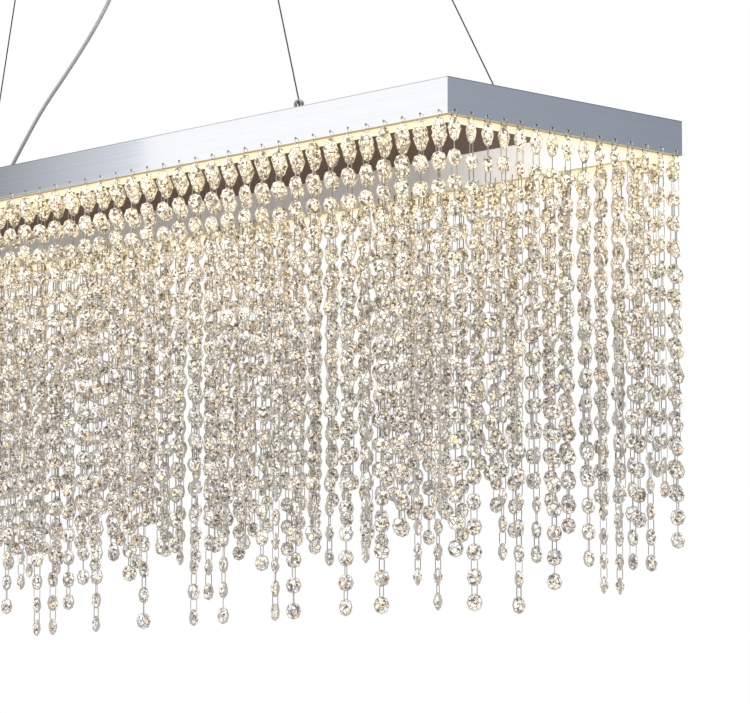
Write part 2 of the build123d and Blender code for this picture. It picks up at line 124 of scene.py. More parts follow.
class CrystalSettings(bpy.types.PropertyGroup):
    """The curtains' crystals and the wire that joins them."""

    width: length("Width", "Across the corners of an octagon crystal", 0.0138)
    height: length("Height", "Lower corner to upper corner of an octagon crystal", 0.0152)
    thickness: length("Thickness", "Through the middle of a crystal", 0.0076)
    # The dark border is painted shade on the rim.
    border: length("Border", "Width of the dark border that the rim shows", 0.0006)
    rim: length("Rim", "Height of the flat edge round a crystal", 0.0015)
    hole: length("Hole", "Diameter of the drilled holes", 0.0017)
    hole_inset: length("Hole inset", "Crystal's corner to the middle of a hole", 0.0021)
    top_height: length("Top crystal", "Height of the first crystal of a strand", 0.0220)
    pitch: length("Pitch", "Middle of a crystal to the middle of the next", 0.0223)
    slack: length("Slack", "How far a crystal halfway down may be from its level", 0.009)
    first_drop: length("First drop", "Rail's edge to the level of the first crystal", 0.0156)
    hook_rise: length("Hook rise", "Rail's edge up to the middle of its hook holes", 0.0035)
    link_wire: length("Link wire", "Thickness of the wire of the links", 0.0009)
    link_width: length("Link width", "Outside width of a link", 0.0064)
    hook_width: length("Hook width", "Outside width of a hook link", 0.0074)
    link_turn: angle("Link turn", "How far a link may be turned from its crystal", 50)
    long_strands: IntProperty(name="Long side", description="Strands on a long side",
                              default=54, min=2)
    short_strands: IntProperty(name="Short side", description="Strands on a short side",
                               default=15, min=2)
    twist: angle("Twist", "Turn of all the long sides' strands, from their hooks", 42)
    hook_turn: angle("Hook turn", "How far a hook may be turned in its hole", 6)
    first_turn: angle("First turn", "How far the first crystal may be turned", 22)
    drift: angle("Drift", "How far a strand may turn from crystal to crystal", 4)
    jitter: angle("Jitter", "How far a crystal may be turned from its neighbours", 26)
    lean: FloatProperty(name="Lean", description="Part of its drop that a strand may lean by",
                        default=0.011, min=0.0)
    seed: IntProperty(name="Seed", description="Seed of all the turns", default=11)
    glass: colour("Glass", "Colour of the crystals", 0.86, 0.82, 0.745)
    # Painted glow: the strips' light in the upper crystals, and the light that all crystals
    # give.
    glow: colour("Glow", "Light of the strips in the upper crystals", 1.0, 0.84, 0.52)
    inner_light: FloatProperty(name="Inner light", default=0.36, min=0.0,
                               description="Light that the crystals pass on")


class FrameSettings(bpy.types.PropertyGroup):
    """The rails, the panel, the light and what they hang on."""

    chrome: colour("Chrome", "Polished sheet of the rails", 0.96, 0.975, 1.0)
    inner_wall: colour("Inner wall", "Satin inside of the rails", 0.95, 0.96, 0.98)
    panel: colour("Panel", "Underside of the panel between the rails", 0.115, 0.066, 0.046)
    light: colour("Light", "Glow of the strips", 1.0, 0.90, 0.63)
    wire: colour("Wire", "Steel of the hanging wires", 0.035, 0.035, 0.03)
    chip_pitch: length("Diode pitch", "From one diode of a tape to the next", 1 / 60)
    cord_thickness: length("Cord", "Diameter of the power cord", 0.004)
    wire_thickness: length("Wire thickness", "Diameter of a hanging wire", 0.0015)
    wire_lay: length("Wire lay", "Length of one turn of the wire's strands", 0.009)


class StudioSettings(bpy.types.PropertyGroup):
    """The plain room that the lamp hangs in, and the camera."""

    floor_drop: length("Floor", "Lowest crystal to the floor", 0.45)
    paper: colour("Paper", "Floor and backdrop", 0.86, 0.86, 0.86)
    lens: FloatProperty(name="Lens", description="Focal length on a 36 mm frame",
                        default=184.8, subtype="DISTANCE_CAMERA")
    heading: angle("Heading", "Camera's turn from the +Y axis", 46.287)
    pitch: angle("Pitch", "Camera's tilt above the level", 7.296)


def settings():
    return bpy.context.scene.chandelier


# ---- material maths ----
class Term:
    """A value in a node tree. Sums and products of terms become Math nodes."""

    def __init__(self, nodes, socket):
        self.nodes = nodes
        self.socket = socket

    def also(self, output):
        """Another output of the node that this one comes from."""
        return Term(self.nodes, self.nodes.find(self.socket.node.outputs, output))

    def math(self, operation, *others):
        return self.nodes.math(operation, self, *others)

    def __add__(self, other):
        return self.math("ADD", other)

    def __sub__(self, other):
        return self.math("SUBTRACT", other)

    def __rsub__(self, other):
        return self.nodes.math("SUBTRACT", other, self)

    def __mul__(self, other):
        return self.math("MULTIPLY", other)

    def __truediv__(self, other):
        return self.math("DIVIDE", other)

    __radd__ = __add__
    __rmul__ = __mul__

    def size(self):
        return self.math("ABSOLUTE")

    def over(self, limit):
        return self.math("GREATER_THAN", limit)

    def ramp(self, low, high, start=0.0, end=1.0):
        """This value from low..high to start..end, held at both ends."""
        return self.nodes.add("ShaderNodeMapRange",
                              sockets=dict(enumerate((self, low, high, start, end))))


class Nodes:
    """Adds the nodes of one tree, of a material or of a shape."""

    def __init__(self, tree):
        self.tree = tree

    def add(self, kind, values=None, sockets=None, output=0):
        """A node. Its settings are set first, then its sockets, named or numbered: each to a
        value, a term or a list of terms. Gives one of its outputs."""
        node = self.tree.nodes.new(kind)
        for name, value in (values or {}).items():
            setattr(node, name, value)
        for name, value in (sockets or {}).items():
            for item in value if isinstance(value, list) else [value]:
                self.join(item, self.find(node.inputs, name))
        if len(node.outputs):
            return Term(self, self.find(node.outputs, output))
        return None

    @staticmethod
    def find(sockets, name):
        if isinstance(name, int):
            return sockets[name]
        return next(socket for socket in sockets if socket.name == name and socket.enabled)

    def join(self, value, socket):
        if isinstance(value, Term):
            self.tree.links.new(value.socket, socket)
        elif socket.type == "RGBA" and len(value) == 3:
            socket.default_value = (*value, 1.0)
        else:
            socket.default_value = value

    def math(self, operation, *values):
        return self.add("ShaderNodeMath", {"operation": operation}, dict(enumerate(values)))

    def blend(self, factor, low, high):
        """One colour to another as the factor goes from 0 to 1."""
        return self.add("ShaderNodeMix", {"data_type": "RGBA"},
                        {"Factor": factor, "A": low, "B": high}, "Result")

    def coords(self):
        return self.add("ShaderNodeTexCoord", output="Object")

    def place(self):
        """The point's x, y and z in the frame's own axes."""
        x = self.add("ShaderNodeSeparateXYZ", sockets={0: self.coords()})
        return x, x.also("Y"), x.also("Z")


class Finish(Nodes):
    """A material on one Principled shader, with what drives its sockets."""

    def __init__(self, name, base=(0.8, 0.8, 0.8), roughness=0.5, metallic=0.0):
        self.material = bpy.data.materials.new(name)
        self.material.use_nodes = True
        super().__init__(self.material.node_tree)
        self.shader = self.tree.nodes["Principled BSDF"]
        self.set("Base Color", base)
        self.set("Roughness", roughness)
        self.set("Metallic", metallic)

    def set(self, socket, value):
        self.join(value, self.shader.inputs[socket])

    def noise(self, spots, upwards=None, detail=2.0):
        """Noise with about so many spots to the metre, or another number of them along z."""
        scaled = self.add("ShaderNodeMapping", sockets={
            "Vector": self.coords(), "Scale": (spots, spots, upwards or spots)})
        return self.add("ShaderNodeTexNoise",
                        sockets={"Vector": scaled, "Scale": 1.0, "Detail": detail})

    def voronoi(self, feature, output, density):
        """Cells of space, with walls that noise has bent."""
        spots = 0.6  # of the noise to a cell
        noise = self.add("ShaderNodeTexNoise", output="Color", sockets={
            "Vector": self.coords(), "Scale": spots * density, "Detail": 1.0})
        reach = (1.0 / density,) * 3
        bent = self.add("ShaderNodeVectorMath", {"operation": "MULTIPLY_ADD"},
                        {0: noise, 1: reach, 2: self.coords()})
        return self.add("ShaderNodeTexVoronoi", {"feature": feature},
                        {"Vector": bent, "Scale": density}, output)

    def cells(self, density):
        """A random number for each small cell of space."""
        return self.add("ShaderNodeSeparateColor",
                        sockets={0: self.voronoi("F1", "Color", density)})

    def cell_edges(self, density):
        """How far a point is from its cell's wall."""
        return self.voronoi("DISTANCE_TO_EDGE", "Distance", density)

    def attribute(self, name):
        return self.add("ShaderNodeAttribute", {"attribute_name": name}, output="Fac")

    def bump(self, height, distance, strength):
        self.set("Normal", self.add("ShaderNodeBump", sockets={
            "Strength": strength, "Distance": distance, "Height": height}))

    def surface(self, mask, first, second):
        """Shows the first shader where the mask is 0 and the second where it is 1."""
        both = self.add("ShaderNodeMixShader", sockets={0: mask, 1: first, 2: second})
        self.join(both, self.tree.nodes["Material Output"].inputs[0])


def shade(value, factor):
    """A colour made darker or brighter."""
    return tuple(channel * factor for channel in value)


# ---- finishes ----
def crystal_glass(make):
    """Cut glass, with painted light. Each facet takes a painted shade of grey, what is seen
    through it is painted as small patches, some amber and some smoky, with dark outlines
    and dark glints, a few facets take painted blue and orange fire, all crystals glow with
    a painted light of their own colour, and a painted glow of the strips' warm light fills
    the upper ones."""
    patches, panes, dark_glints = 300.0, 230.0, 520.0  # cells to the metre
    # Painted light: the amber and smoky patches and the blue and orange fire seen in the
    # glass; the facets' painted shade, the same under the strips' painted glow; the rim's
    # painted shade.
    amber, smoke = (0.97, 0.80, 0.55), (0.66, 0.62, 0.57)
    blue, orange = (0.30, 0.46, 0.80), (0.92, 0.55, 0.30)
    dark, painted_glow_shade, edge = (0.07, 0.055, 0.04), (0.20, 0.13, 0.07), (0.30, 0.28, 0.25)
    lit_drop = 0.22  # how far down the strips' light reaches
    finish = Finish("crystal_glass", roughness=0.03)
    facet = finish.attribute("facet")
    spark = finish.attribute("spark")
    patch = finish.cells(patches)
    hue = finish.cells(panes)
    # Painted shade of each point: its facet's grey, its patch, the patch's dark outline and
    # the dark glints.
    level = (facet.ramp(0.0, 1.0, 0.80, 1.0) * patch.ramp(0.04, 0.26, 0.22, 1.0)
             * finish.cell_edges(panes).ramp(0.02, 0.14, 0.20, 1.0)
             * finish.cells(dark_glints).over(0.14).ramp(0.0, 1.0, 0.05, 1.0))
    glass_and_painted_light = finish.blend(hue.over(0.76), make.glass, amber)
    glass_and_painted_light = finish.blend(hue.over(0.90), glass_and_painted_light, smoke)
    glass_and_painted_light = finish.blend(spark.over(0.978) * patch.over(0.6), glass_and_painted_light, blue)
    glass_and_painted_light = finish.blend((0.020 - spark).over(0.0), glass_and_painted_light, orange)
    glass_and_painted_light = finish.blend(level, dark, glass_and_painted_light)
    glass_and_painted_light = finish.blend(finish.attribute("border"), glass_and_painted_light, edge)
    finish.set("Base Color", glass_and_painted_light)
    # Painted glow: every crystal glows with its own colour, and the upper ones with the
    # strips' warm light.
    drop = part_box("front_rail")[0][2] - finish.place()[2]
    warm = drop.ramp(0.0, lit_drop, 1.0, 0.0).math("POWER", 1.4)
    painted_strip_glow = finish.blend(level, painted_glow_shade, shade(make.glow, 2.0))
    finish.set("Emission Color", finish.blend(warm, glass_and_painted_light, painted_strip_glow))
    finish.set("Emission Strength", make.inner_light)
    finish.set("Transmission Weight", 0.20)
    finish.set("IOR", 1.52)
    finish.set("Specular IOR Level", 0.9)
    return finish.material


def link_chrome():
    """Bright wire, a little tarnished."""
    finish = Finish("link_chrome", (0.40, 0.38, 0.35), metallic=1.0)
    finish.set("Roughness", finish.noise(300.0).ramp(0.3, 0.7, 0.10, 0.24))
    return finish.material


def rail_chrome(make):
    """Polished sheet with faint streaks along it and painted shade along its upper fold. The
    walls that face into the tray are satin; the strips light them, and painted light adds a
    lighter colour and a glow, most at the right end."""
    wall, fold_height = 0.004, 0.0009  # reach of the satin finish, height of the upper fold
    finish = Finish("rail_chrome")
    streak = finish.noise(1.5, 700.0, detail=3.0)
    low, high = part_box("front_rail")
    x, y, z = finish.place()
    tray_x = high[0] - (high[1] - low[1]) + wall
    tray_y = -high[1] + wall
    inside = (1.0 - x.size().over(tray_x)) * (1.0 - y.size().over(tray_y))
    fold = (z - (high[2] - fold_height)).over(0.0)
    polish = finish.blend(streak.ramp(0.35, 0.65), shade(make.chrome, 0.96), make.chrome)
    # Painted shade along the upper fold.
    polish = finish.blend(fold, polish, shade(make.chrome, 0.60))
    # Painted light: the satin walls lighter towards the right end.
    satin_with_painted_light = finish.blend(x.ramp(0.15, 0.50), shade(make.inner_wall, 0.80), make.inner_wall)
    finish.set("Base Color", finish.blend(inside, polish, satin_with_painted_light))
    finish.set("Roughness", inside * 0.5 + streak.ramp(0.3, 0.7, 0.035, 0.08))
    finish.set("Metallic", 1.0 - 0.75 * inside)
    # Painted light: the satin walls glow, most at the right end.
    finish.set("Emission Color", finish.blend(inside * x.ramp(0.30, 0.52, 0.08, 0.85),
                                              (0.0, 0.0, 0.0), (1.0, 0.97, 0.90)))
    finish.set("Emission Strength", 1.0)
    finish.bump(streak, 0.00001, 0.15)
    return finish.material


def panel_paint(make):
    """Matt brown paint on the panel, a little uneven."""
    finish = Finish("panel_paint")
    cloud = finish.noise(9.0, detail=4.0)
    grain = finish.noise(700.0)
    finish.set("Base Color", finish.blend(cloud.ramp(0.3, 0.7), shade(make.panel, 0.82),
                                          shade(make.panel, 1.15)))
    finish.set("Roughness", cloud.ramp(0.2, 0.8, 0.45, 0.62))
    finish.set("Specular IOR Level", 0.15)
    finish.bump(grain, 0.00008, 0.5)
    return finish.material


def lit_acrylic(make):
    """The diffuser, lit from inside: a pool of light over each diode, amber where it comes
    near the rail and dark within it."""
    pool_pitch = 0.0167
    amber_from, dark_from = -0.0008, 0.0012  # levels from the rail's edge
    finish = Finish("lit_acrylic", (0.30, 0.27, 0.18), roughness=0.25)
    x, y, z = finish.place()
    ripple = (x + y) * (2 * math.pi / pool_pitch)
    pool = ripple.math("SINE").ramp(-1.0, 1.0, 0.86, 1.0)
    cloud = finish.noise(40.0, 200.0).ramp(0.2, 0.8, 0.94, 1.0)
    lit = finish.blend(pool * cloud, shade(make.light, 0.6), make.light)
    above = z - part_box("front_rail")[0][2]
    lit = finish.blend(above.over(amber_from), lit, (0.42, 0.30, 0.13))
    lit = finish.blend(above.over(dark_from), lit, (0.05, 0.04, 0.03))
    finish.set("Emission Color", lit)
    finish.set("Emission Strength", 0.84)
    return finish.material


def plain_metal(name, base, roughness, metallic=1.0):
    """Metal whose sheen varies with its grain."""
    finish = Finish(name, metallic=metallic)
    spots = finish.noise(400.0, detail=3.0)
    finish.set("Roughness", spots.ramp(0.3, 0.7, roughness * 0.7, roughness * 1.3))
    finish.set("Base Color", finish.blend(spots, shade(base, 0.88), base))
    finish.bump(spots, 0.00004, 0.25)
    return finish.material


def moulded_plastic(name, base, roughness=0.42, clear=0.0):
    """Plastic with the faint orange peel of its mould."""
    finish = Finish(name)
    peel = finish.noise(900.0)
    cloud = finish.noise(60.0)
    finish.set("Roughness", cloud.ramp(0.2, 0.8, roughness * 0.8, roughness * 1.2))
    finish.set("Base Color", finish.blend(cloud, shade(base, 0.94), base))
    finish.set("Transmission Weight", clear)
    finish.bump(peel, 0.00003, 0.3)
    return finish.material


def clear_jacket():
    """The cord's clear jacket, a little cloudy."""
    finish = Finish("clear_jacket")
    cloud = finish.noise(45.0)
    finish.set("Base Color", finish.blend(cloud, (0.44, 0.43, 0.41), (0.56, 0.55, 0.53)))
    finish.set("Roughness", cloud.ramp(0.2, 0.8, 0.28, 0.40))
    return finish.material


def lit_chip(make):
    """A diode: a white case round a lit yellow window."""
    white, yellow = (0.90, 0.90, 0.88), (1.0, 0.82, 0.30)
    finish = Finish("led_chip", roughness=0.4)
    window = finish.attribute("window")
    grain = finish.noise(900.0)
    finish.set("Base Color", finish.blend(grain * window, white, yellow))
    finish.set("Emission Color", finish.blend(window, (0.0, 0.0, 0.0), make.light))
    finish.set("Emission Strength", 3.0)
    return finish.material


# ---- mesh helpers ----
def new_piece(name, data, material=None):
    piece = bpy.data.objects.new(name, data)
    bpy.context.scene.collection.objects.link(piece)
    if material is not None:
        data.materials.append(material)
    return piece


def mesh_of(name, points, faces):
    mesh = bpy.data.meshes.new(name)
    mesh.from_pydata([tuple(p) for p in points], [], faces)
    mesh.update()
    return mesh


def baked(thing):
    """A plain mesh of an object with its modifiers done."""
    graph = bpy.context.evaluated_depsgraph_get()
    return bpy.data.meshes.new_from_object(thing.evaluated_get(graph))


def discard(*things):
    for thing in things:
        bpy.data.objects.remove(thing, do_unlink=True)


def tidy_normals(mesh):
    work = bmesh.new()
    work.from_mesh(mesh)
    bmesh.ops.remove_doubles(work, verts=work.verts, dist=1e-7)
    bmesh.ops.recalc_face_normals(work, faces=work.faces)
    work.to_mesh(mesh)
    work.free()


def band(low, high, sides):
    """The faces between two rings of points that begin at these numbers."""
    return [(low + k, low + (k + 1) % sides, high + (k + 1) % sides, high + k)
            for k in range(sides)]


def swept(name, path, thickness, sides, closed=True, lobes=0, turn_each=0.0):
    """A tube along points that all have about the same y, closed or open. The thickness is
    one number or one for each point. Lobes makes it look laid of that many strands, which
    go round by turn_each from point to point."""
    groove = 0.11  # depth between two strands, as a part of the thickness
    points = []
    faces = []
    count = len(path)
    widths = thickness if isinstance(thickness, list) else [thickness] * count
    for k, at in enumerate(path):
        before = path[k - 1] if closed or k else at
        after = path[(k + 1) % count] if closed or k < count - 1 else at
        along = (Vector(after) - Vector(before)).normalized()
        out = along.cross(Vector((0.0, 1.0, 0.0))).normalized() * -1.0
        side = along.cross(out)
        for j in range(sides):
            turn = 2 * math.pi * (j + 0.5) / sides
            reach = widths[k] / 2 * (1.0 - groove * (1.0 - math.cos(lobes * turn)))
            at_turn = turn + k * turn_each
            points.append(Vector(at) + (out * math.cos(at_turn) + side * math.sin(at_turn))
                          * reach)
    for k in range(count if closed else count - 1):
        faces += band(k * sides, (k + 1) % count * sides, sides)
    if not closed:
        faces.append(tuple(range(sides)))
        faces.append(tuple(range((count - 1) * sides, count * sides)))
    mesh = mesh_of(name, points, faces)
    tidy_normals(mesh)
    return mesh


# ---- crystals and links ----
# A crystal face's rings: reach as a part of its width, rise as a part of its crown.
BORDER_RISE = 0.12
STAR_REACH, STAR_RISE = 0.28, 0.66
TABLE_REACH = 0.10
STRETCH_GAIN = 1.42  # makes the corners from 45 degrees up move by the whole stretch
LINK_BEND = 0.62  # radius of a link's corners, as a part of its half width
MOST_CRYSTALS = 64.0  # more than a strand has, so that each has a number of its own
MOST_STRANDS = 100  # more than a curtain has


def crystal_mesh(make, name, height, taper=0.0):
    """An octagon lens with a star of facets on both faces, drilled near its upper and lower
    corner. It stands in the x-z plane. Taper is how much narrower its two ends are."""
    stretch = (height - make.width) / 2
    crown = (make.thickness - make.rim) / 2
    rings = ((0.5, 0.0, make.rim / 2),
             (0.5 - make.border / make.width, 0.0, make.rim / 2 + crown * BORDER_RISE),
             (STAR_REACH, 45 / 2, make.rim / 2 + crown * STAR_RISE),
             (TABLE_REACH, 0.0, make.thickness / 2))
    points = []
    for side in (-1, 1):
        for reach, start, level in rings:
            for k in range(8):
                turn = math.radians(45 * k + start)
                z = math.sin(turn)
                shift = stretch * max(-1.0, min(1.0, z * STRETCH_GAIN))
                narrow = 1.0 - taper * abs(z)
                points.append((reach * make.width * math.cos(turn) * narrow, side * level,
                               reach * make.width * z + shift))
    faces = []
    count = 8 * len(rings)
    for first in (0, count):
        for k in range(8):
            rim, next_rim = first + k, first + (k + 1) % 8
            inner, next_inner = rim + 8, next_rim + 8
            star, next_star = inner + 8, next_inner + 8
            faces += [(rim, next_rim, next_inner, inner), (inner, next_inner, star),
                      (next_inner, next_star, star), (star, next_star, next_star + 8),
                      (star, next_star + 8, star + 8)]
        faces.append(tuple(range(first + count - 8, first + count)))
    faces += band(0, count, 8)
    # The flat rim and the thin border beside it, which the glass paints with a dark shade.
    border = [float(len(face) == 4) for face in faces]
    mesh = mesh_of(name, points, faces)
    mesh.attributes.new("border", "FLOAT", "FACE").data.foreach_set("value", border)
    tidy_normals(mesh)
    stone = new_piece(name, mesh)
    drill = new_piece("drill", drill_mesh(make, height / 2 - make.hole_inset))
    cut = stone.modifiers.new("holes", "BOOLEAN")
    cut.operation = "DIFFERENCE"
    cut.object = drill
    done = baked(stone)
    discard(stone, drill)
    return done


def drill_mesh(make, reach):
    """Two six-sided drills through a crystal, this far below and above its middle."""
    half = make.hole / 2
    turns = [math.radians(60 * k) for k in range(6)]
    points = [(half * math.cos(turn), side * make.thickness, z + half * math.sin(turn))
              for z in (-reach, reach) for side in (-1, 1) for turn in turns]
    faces = []
    for first in (0, 12):
        faces += [tuple(range(first, first + 6)), tuple(range(first + 6, first + 12))]
        faces += band(first, first + 6, 6)
    mesh = mesh_of("drill", points, faces)
    tidy_normals(mesh)
    return mesh


def link_mesh(make, name, reach, width):
    """An oval link in the y-z plane. Reach is between the middles of its two ends."""
    half = (width - make.link_wire) / 2
    bend = half * LINK_BEND
    path = []
    for centre_y, centre_z, start in ((half - bend, reach / 2 - bend, 0),
                                      (bend - half, reach / 2 - bend, 90),
                                      (bend - half, bend - reach / 2, 180),
                                      (half - bend, bend - reach / 2, 270)):
        for turn in (0, 45, 90):
            at = math.radians(start + turn)
            path.append((centre_y + bend * math.cos(at), 0.0, centre_z + bend * math.sin(at)))
    mesh = swept(name, path, make.link_wire, sides=4)
    mesh.transform(Matrix.Rotation(math.radians(90), 4, "Z"))
    return mesh


def new_tree(name, **inputs):
    """A geometry tree with these inputs of each kind, between a geometry and a material.
    Gives its nodes and a look-up of its inputs."""
    tree = bpy.data.node_groups.new(name, "GeometryNodeTree")
    inputs = {"Geometry": ["Geometry"], **inputs, "Material": ["Material"]}
    for kind, names in inputs.items():
        for item in names:
            tree.interface.new_socket(item, in_out="INPUT", socket_type="NodeSocket" + kind)
    tree.interface.new_socket("Geometry", in_out="OUTPUT", socket_type="NodeSocketGeometry")
    build = Nodes(tree)
    return build, build.add("NodeGroupInput").also


def dress_and_end(build, shape, material):
    """Gives a tree's shape its material and joins it to the tree's output."""
    dressed = build.add("GeometryNodeSetMaterial",
                        sockets={"Geometry": shape, "Material": material})
    build.add("NodeGroupOutput", sockets={0: dressed})
    return build.tree


def grown(name, points, tree, given):
    """The plain piece that a tree makes of these points with these inputs."""
    thing = new_piece(name, points)
    modifier = thing.modifiers.new(tree.name, "NODES")
    modifier.node_group = tree
    for item in tree.interface.items_tree:
        if item.item_type == "SOCKET" and item.in_out == "INPUT" and item.name in given:
            modifier[item.identifier] = given[item.name]
    mesh = baked(thing)
    discard(thing)
    return new_piece(name, mesh)


def on_points(build, points, piece, more):
    """An object on each point. More is what else its node's sockets say."""
    shape = build.add("GeometryNodeObjectInfo", sockets={"Object": piece}, output="Geometry")
    return build.add("GeometryNodeInstanceOnPoints",
                     sockets={"Points": points, "Instance": shape, **more})


def row_tree():
    """Puts one piece on each point."""
    build, given = new_tree("row", Object=["Piece"])
    row = on_points(build, given("Geometry"), given("Piece"), {})
    solid = build.add("GeometryNodeRealizeInstances", sockets={0: row})
    return dress_and_end(build, solid, given("Material"))


def stringing_tree():
    """Hangs pieces down each strand: one first piece, then repeated ones a pitch apart,
    turned a little more from each to the next."""
    build, given = new_tree(
        "strands", Object=["First piece", "Repeated piece"], Int=["Seed"],
        Float=["First drop", "Drop", "Pitch", "Slack", "Lag", "Lean along x", "Lean along y",
               "Own turn", "Side turn", "First turn", "Drift", "Jitter"])

    def named(name):
        return build.add("GeometryNodeInputNamedAttribute", {"data_type": "INT"},
                         {"Name": name}, "Attribute")

    def random(key, shift, low=-1.0):
        """A steady random number for each key, or for each face without one. The shift
        keeps every use apart from the others."""
        sockets = {"Min": low, "Max": 1.0, "Seed": given("Seed") + float(shift)}
        if key is not None:
            sockets["ID"] = key
        return build.add("FunctionNodeRandomValue", {"data_type": "FLOAT"}, sockets, "Value")

    def choose(condition, no, yes):
        return build.add("GeometryNodeSwitch", {"input_type": "FLOAT"},
                         {"Switch": condition, "False": no, "True": yes})

    amount = named("crystals")
    strand = named("strand")
    copies = build.add("GeometryNodeDuplicateElements", {"domain": "POINT"},
                       {"Geometry": given("Geometry"), "Amount": amount})
    row = copies.also("Duplicate Index")
    is_first = row.math("COMPARE", 0.0, 0.5)
    step = row - given("Lag")
    bow = (math.pi * step / (amount - 1.0)).math("SINE") * given("Slack") * random(strand, 4)
    drop = choose(is_first, given("Drop") + given("Pitch") * step + bow, given("First drop"))
    aside = drop * random(strand, 8)
    offset = build.add("ShaderNodeCombineXYZ", sockets={
        "X": aside * given("Lean along x"), "Y": aside * given("Lean along y"),
        "Z": -1.0 * drop})
    moved = build.add("GeometryNodeSetPosition",
                      sockets={"Geometry": copies, "Offset": offset})
    start = given("First turn") * random(strand, 1)
    place = row + MOST_CRYSTALS * strand
    turn = (start + given("Drift") * random(strand, 2) * row
            + given("Jitter") * random(place, 3) + given("Own turn") * random(place, 7))
    yaw = choose(is_first, turn, start) + given("Side turn")
    rotation = build.add("ShaderNodeCombineXYZ", sockets={"Z": yaw})
    parts = [on_points(build, moved, given(name), {"Selection": chosen, "Rotation": rotation})
             for name, chosen in (("First piece", is_first),
                                  ("Repeated piece", 1.0 - is_first))]
    both = build.add("GeometryNodeJoinGeometry", sockets={0: parts})
    solid = build.add("GeometryNodeRealizeInstances", sockets={0: both})
    # Random numbers for each face, which the glass turns into the painted shade of its facets
    # and painted fire.
    for name, shift in (("facet", 5), ("spark", 6)):
        solid = build.add("GeometryNodeStoreNamedAttribute",
                          {"data_type": "FLOAT", "domain": "FACE"},
                          {"Geometry": solid, "Name": name, "Value": random(None, shift, 0.0)})
    return dress_and_end(build, solid, given("Material"))


def strand_points(node, make):
    """A mesh with a point at the rail's edge for each strand of a CAD curtain, which holds
    how many crystals hang there."""
    mesh = frame["nodes"][node].data
    co = np.empty(len(mesh.vertices) * 3)
    mesh.vertices.foreach_get("co", co)
    co = co.reshape(-1, 3)
    low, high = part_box(node)
    along = int(high[1] - low[1] > high[0] - low[0])
    spacing = strand_spacing(node, make)
    margin = 0.05 * CAD_HALF
    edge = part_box("front_rail")[0][2]
    count = round((high[along] - low[along] - 2 * CAD_HALF) / spacing) + 1
    points = []
    crystals = []
    for k in range(count):
        at = low[along] + CAD_HALF + k * spacing
        near = co[abs(co[:, along] - at) < CAD_HALF + margin]
        widest = near[abs(near[:, along] - at) > CAD_HALF - margin]
        point = widest.mean(axis=0)
        point[along] = at
        point[2] = edge
        points.append(point)
        lowest = edge - near[:, 2].min() - CAD_HALF - CAD_FIRST_DROP
        crystals.append(round(lowest / CAD_PITCH) + 1)
    result = mesh_of(node + "_points", points, [])
    first = CURTAINS.index(node) * MOST_STRANDS
    strands = list(range(first, first + count))
    for name, values in (("crystals", crystals), ("strand", strands)):
        result.attributes.new(name, "INT", "POINT").data.foreach_set("value", values)
    return result, along


def strand_spacing(node, make):
    """Strand to strand, from an end curtain or from the three that fill the front."""
    if node in ("right_strands", "left_strands"):
        low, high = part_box(node)
        return (high[1] - low[1] - 2 * CAD_HALF) / (make.short_strands - 1)
    ends = [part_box(f"front_strands_{k}") for k in (1, 3)]
    return (ends[0][1][0] - ends[1][0][0] - 2 * CAD_HALF) / (make.long_strands - 1)


def string_strands(node, make, tree, name, given):
    """One body's crystals or links as one piece. Links lag half a step behind the crystals
    that they carry, and may be turned from them."""
    points, along = strand_points(node, make)
    given.update({
        "Drop": make.first_drop, "Pitch": make.pitch, "Slack": make.slack,
        "Lean along x": 0.0 if along else make.lean,
        "Lean along y": make.lean if along else 0.0,
        "Side turn": math.radians(90) if along else make.twist,
        "Drift": make.drift, "Jitter": make.jitter, "Seed": make.seed})
    return grown(name, points, tree, given)


class CHANDELIER_OT_crystals(bpy.types.Operator):
    """Hang the crystals and their links on every curtain"""

    bl_idname = "chandelier.crystals"
    bl_label = "Crystals and links"

    def execute(self, context):
        make = settings().crystal
        tree = stringing_tree()
        half = make.height / 2 - make.hole_inset
        top_half = make.top_height / 2 - make.hole_inset
        top_drop = make.first_drop + half - top_half
        octagon = new_piece("octagon", crystal_mesh(make, "octagon", make.height))
        top = new_piece("top_crystal", crystal_mesh(make, "top_crystal", make.top_height,
                                                    taper=0.38))
        reach = make.pitch - 2 * half
        hook_reach = top_drop - top_half + make.hook_rise
        link = new_piece("link", link_mesh(make, "link", reach, make.link_width))
        hook = new_piece("hook", link_mesh(make, "hook", hook_reach, make.hook_width))
        glass = crystal_glass(make)
        chrome = link_chrome()
        hook_drop = hook_reach / 2 - make.hook_rise
        for node in CURTAINS:
            stones = string_strands(node, make, tree, node + "_crystals", {
                "First piece": top, "Repeated piece": octagon, "First drop": top_drop,
                "Lag": 0.0, "Own turn": 0.0, "First turn": make.first_turn,
                "Material": glass})
            wires = string_strands(node, make, tree, node + "_links", {
                "First piece": hook, "Repeated piece": link, "First drop": hook_drop,
                "Lag": 0.5, "Own turn": make.link_turn, "First turn": make.hook_turn,
                "Material": chrome})
            for piece in (stones, wires):
                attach(piece, node)
            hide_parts(node)
        discard(octagon, top, link, hook)
        return {"FINISHED"}


# ---- rails, panel and light ----
def dress(node, material):
    """A new material on a CAD node whose shape stays."""
    mesh = frame["nodes"][node].data
    mesh.materials.clear()
    mesh.materials.append(material)


class CHANDELIER_OT_rails(bpy.types.Operator):
    """Finish the rails, the panel and what joins them"""

    bl_idname = "chandelier.rails"
    bl_label = "Rails and panel"

    def execute(self, context):
        make = settings().frame
        chrome = rail_chrome(make)
        for side in SIDES:
            dress(side + "_rail", chrome)
        dress("top_panel", panel_paint(make))
        dress("corner_angles", plain_metal("zinc_steel", (0.55, 0.55, 0.57), 0.35))
        dress("panel_screws", plain_metal("screw_steel", (0.60, 0.60, 0.60), 0.28))
        return {"FINISHED"}


